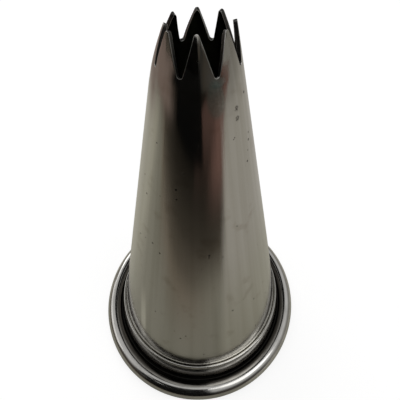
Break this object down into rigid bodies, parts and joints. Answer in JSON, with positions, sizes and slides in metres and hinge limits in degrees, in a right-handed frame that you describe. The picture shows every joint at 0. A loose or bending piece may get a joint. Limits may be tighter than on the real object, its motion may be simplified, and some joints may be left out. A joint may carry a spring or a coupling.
{
  "type": "piping nozzle",
  "caption": "Tall open-star piping nozzle in thin stainless sheet: a tapered cone with a toothed tip, seated in a rolled base ring.",
  "frame": {"origin": "centre of the nozzle's axis on the plane that the base ring rests on", "axes": "+Z along the nozzle from its base towards its teeth; one tooth points along -Y"},
  "size_m": [0.036, 0.036, 0.0565],
  "materials": {
    "cone_steel": "bright rolled stainless sheet with faint drawing marks, small pits and handling scuffs",
    "ring_steel": "bright stainless sheet, burnished by rolling, with fine marks running round the ring"
  },
  "bodies": {
    "root": {"star_cone": "cone_steel", "base_ring": "ring_steel"}
  },
  "joints": []
}
